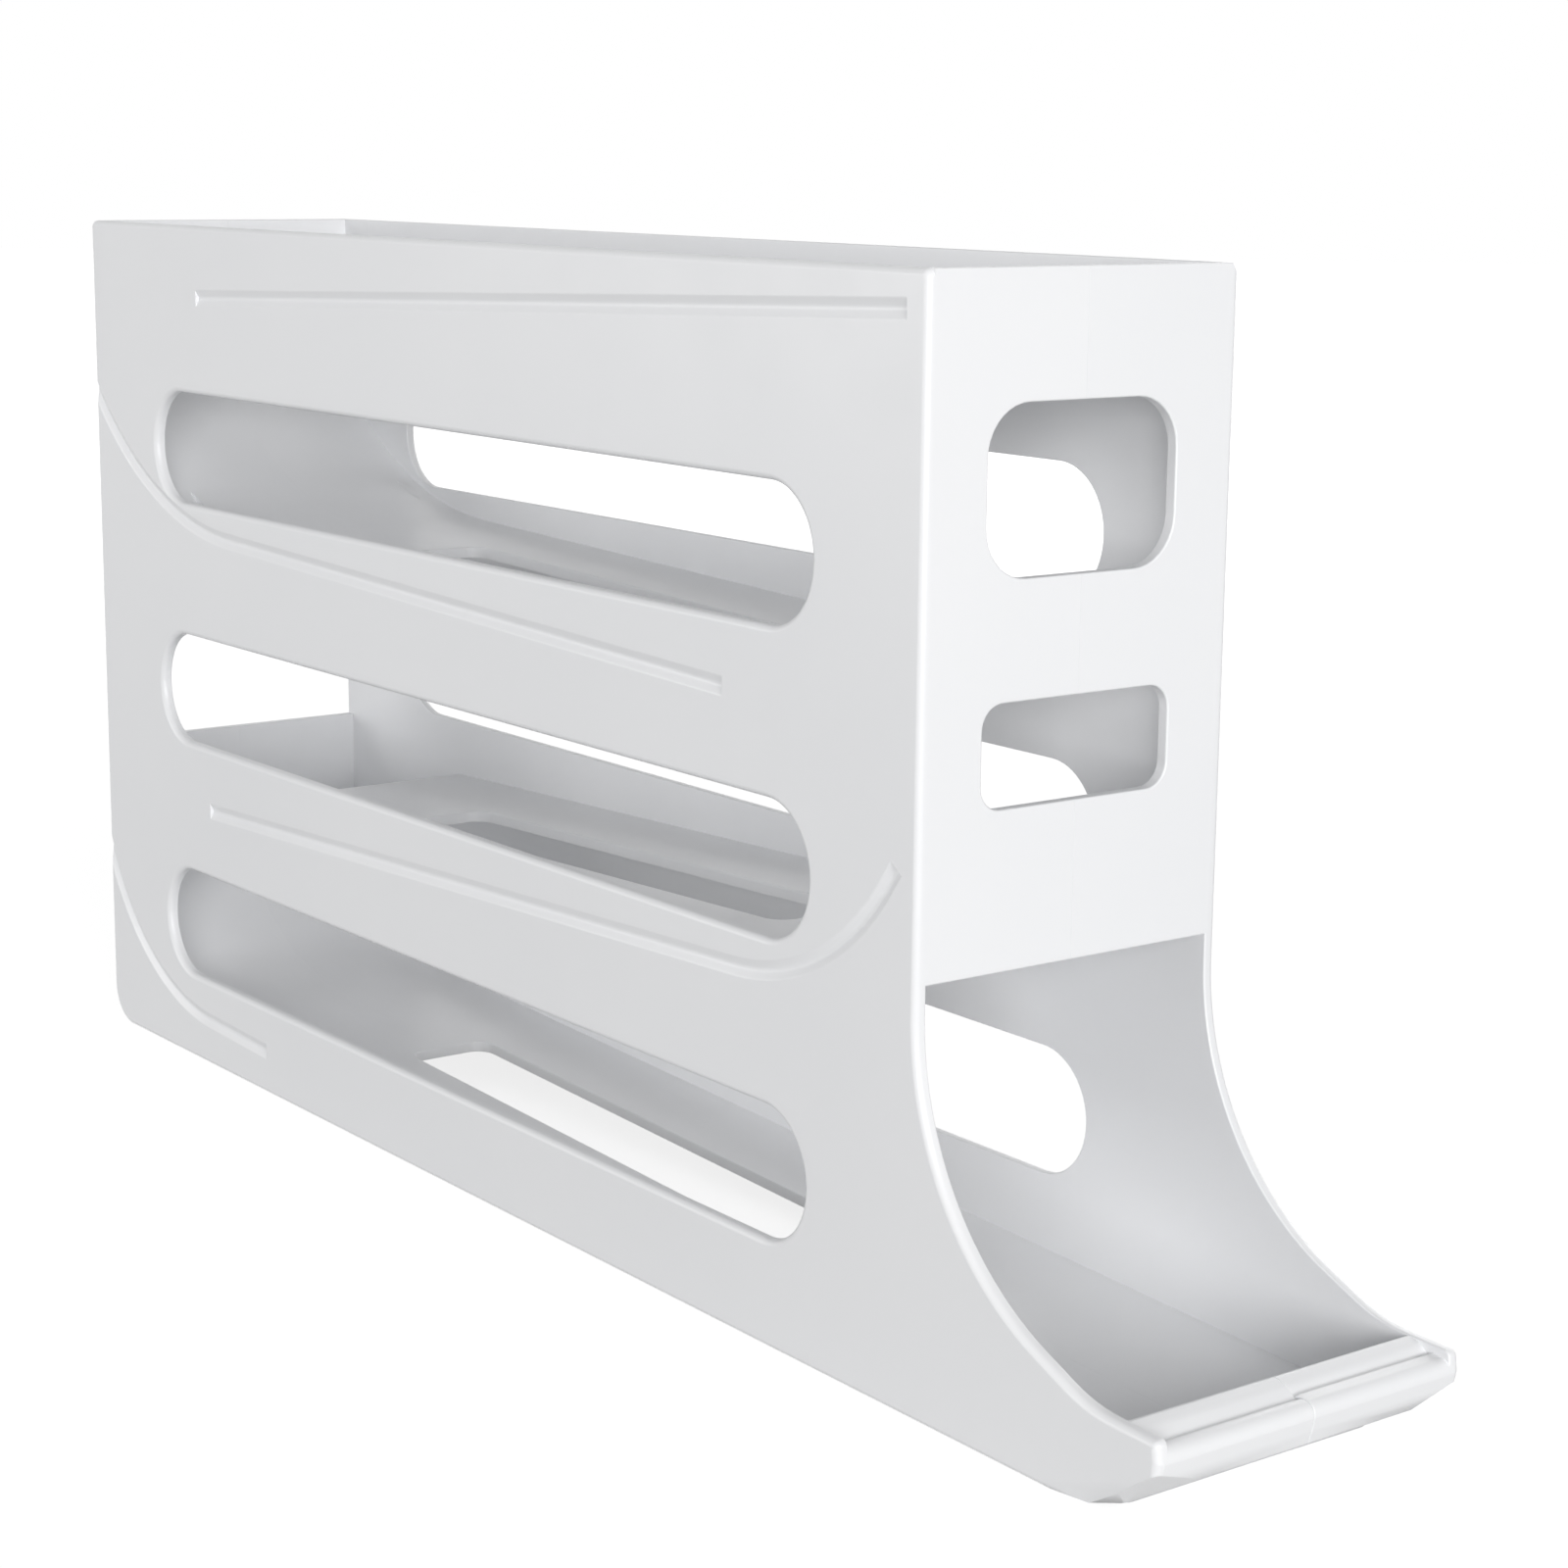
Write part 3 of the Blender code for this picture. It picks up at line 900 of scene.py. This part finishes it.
def make_shell(label, side, material):
    """One moulding, from its walls to its grooves."""
    into_panel = side * (inside + overlap)
    seam = side * seam_half_gap

    shell = solid(
        label + "_shell", panel_outline(), side_place, side * outside, side * inside,
        outer_round, inner_round,
    )
    walls = []
    for outline, seam_round in (
        (wall_outline(0, wall, plate_bottom, height), plate_break),
        (wall_outline(depth - wall, depth, upper_wall_low.z, height), plate_break),
        (wall_outline(depth - wall, depth, lower_wall_low.z, lower_wall_top), plate_break),
        (lip_outline(side), lip_break),
    ):
        walls.append(solid("wall", outline, side_place, into_panel, seam, 0, seam_round))
    walls += [ramp_wall(name, rule, side, material) for name, rule in ramp_rules.items()]
    combine(shell, walls, "UNION")

    hollow = rounded(in_metres(lip_hollow_corners))
    cutters = window_cutters() + slot_cutters(side) + chin_cutters(side)
    cutters.append(solid("hollow", hollow, side_place, side * inside, -side * overrun))
    cutters += [groove_cutter(name, side, material) for name in groove_spans]
    combine(shell, cutters, "DIFFERENCE")
    combine(shell, [plan_block()], "INTERSECT")
    merge_close(shell)
    finish(shell, material)
    return shell


ramp_run = ramp_tree()
turning = turning_tree()
left_shell = make_shell("left", -1, left_plastic)
right_shell = make_shell("right", 1, right_plastic)

shell_nodes = (
    "side_panel", "ramp_1", "ramp_2", "ramp_3", "ramp_4", "front_plate", "upper_back_wall",
    "lower_back_wall", "lip",
)
for label, shell in (("left", left_shell), ("right", right_shell)):
    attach(shell, label + "_half")
    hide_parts(*[label + "_" + node for node in shell_nodes])

for body, kind, outline, closed, material in (
    ("left_half", "left_joining_peg", peg_outline(), False, left_plastic),
    ("right_half", "right_joining_socket", socket_outline(), True, right_plastic),
):
    joints = ["%s_%d" % (kind, number) for number in range(1, peg_count + 1)]
    row = joint_row(kind + "_row", joints, outline, closed, material)
    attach(row, body)
    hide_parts(*joints)


# Stage, light and camera

def make_floor():
    """White floor that keeps the object's shadow."""
    shape = bmesh.new()
    bmesh.ops.create_circle(shape, cap_ends=True, segments=floor_sides, radius=floor_radius)
    mesh = bpy.data.meshes.new("floor")
    shape.to_mesh(mesh)
    shape.free()
    floor = new_object("floor", mesh)
    material = bpy.data.materials.new("floor_white")
    material.use_nodes = True
    nodes, links = material.node_tree.nodes, material.node_tree.links
    shader = nodes["Principled BSDF"]
    shader.inputs["Base Color"].default_value = (floor_tone, floor_tone, floor_tone, 1)
    shader.inputs["Roughness"].default_value = floor_roughness
    shader.inputs["Specular IOR Level"].default_value = 0.0
    glow = nodes.new("ShaderNodeEmission")
    sums = Sums(material.node_tree)
    where = nodes.new("ShaderNodeTexCoord")
    away = nodes.new("ShaderNodeVectorMath")
    away.operation = "LENGTH"
    links.new(where.outputs["Object"], away.inputs[0])
    level = nodes.new("ShaderNodeMapRange")
    for label, term in (
        ("From Min", glow_near_radius), ("From Max", glow_far_radius),
        ("To Min", near_glow), ("To Max", far_glow),
    ):
        level.inputs[label].default_value = term
    links.new(away.outputs["Value"], level.inputs["Value"])
    strength = sums("MULTIPLY", sums.seen_straight(), level.outputs["Result"])
    links.new(strength, glow.inputs["Strength"])
    both = nodes.new("ShaderNodeAddShader")
    links.new(shader.outputs["BSDF"], both.inputs[0])
    links.new(glow.outputs["Emission"], both.inputs[1])
    links.new(both.outputs["Shader"], nodes["Material Output"].inputs["Surface"])
    mesh.materials.append(material)


def make_world():
    """Soft light from all round, in front of a white background."""
    world = bpy.data.worlds.new("studio")
    bpy.context.scene.world = world
    world.use_nodes = True
    nodes, links = world.node_tree.nodes, world.node_tree.links
    nodes.clear()
    output = nodes.new("ShaderNodeOutputWorld")
    background = nodes.new("ShaderNodeBackground")
    background.inputs["Color"].default_value = (1, 1, 1, 1)
    sums = Sums(world.node_tree)
    strength = sums("MULTIPLY_ADD", sums.seen_straight(), white_level - ambient_level, ambient_level)
    links.new(strength, background.inputs["Strength"])
    links.new(background.outputs["Background"], output.inputs["Surface"])


def softbox(name, place, target, size, power):
    """Rectangular lamp that faces a target."""
    light = bpy.data.lights.new(name, "AREA")
    light.shape = "RECTANGLE"
    light.size, light.size_y = size
    light.energy = power
    thing = bpy.data.objects.new(name, light)
    bpy.context.scene.collection.objects.link(thing)
    thing.location = place
    thing.rotation_euler = (Vector(target) - Vector(place)).to_track_quat("-Z", "Y").to_euler()


def make_camera():
    """Camera at the photograph's place and angle."""
    data = bpy.data.cameras.new("camera")
    data.sensor_fit = "HORIZONTAL"
    data.sensor_width = camera_sensor
    data.lens = camera_lens
    data.clip_start = camera_near
    thing = bpy.data.objects.new("camera", data)
    bpy.context.scene.collection.objects.link(thing)
    right = camera_right.normalized()
    back = right.cross(camera_up).normalized()
    up = back.cross(right)
    turn = Matrix((right, up, back)).transposed().to_4x4()
    thing.matrix_world = Matrix.Translation(camera_place) @ turn
    bpy.context.scene.camera = thing


make_floor()
make_world()
middle_height = (0, 0, height / 2)
for name, place, size, power in softboxes:
    softbox(name, place, middle_height, size, power)
make_camera()
bpy.context.scene.view_settings.view_transform = "Standard"
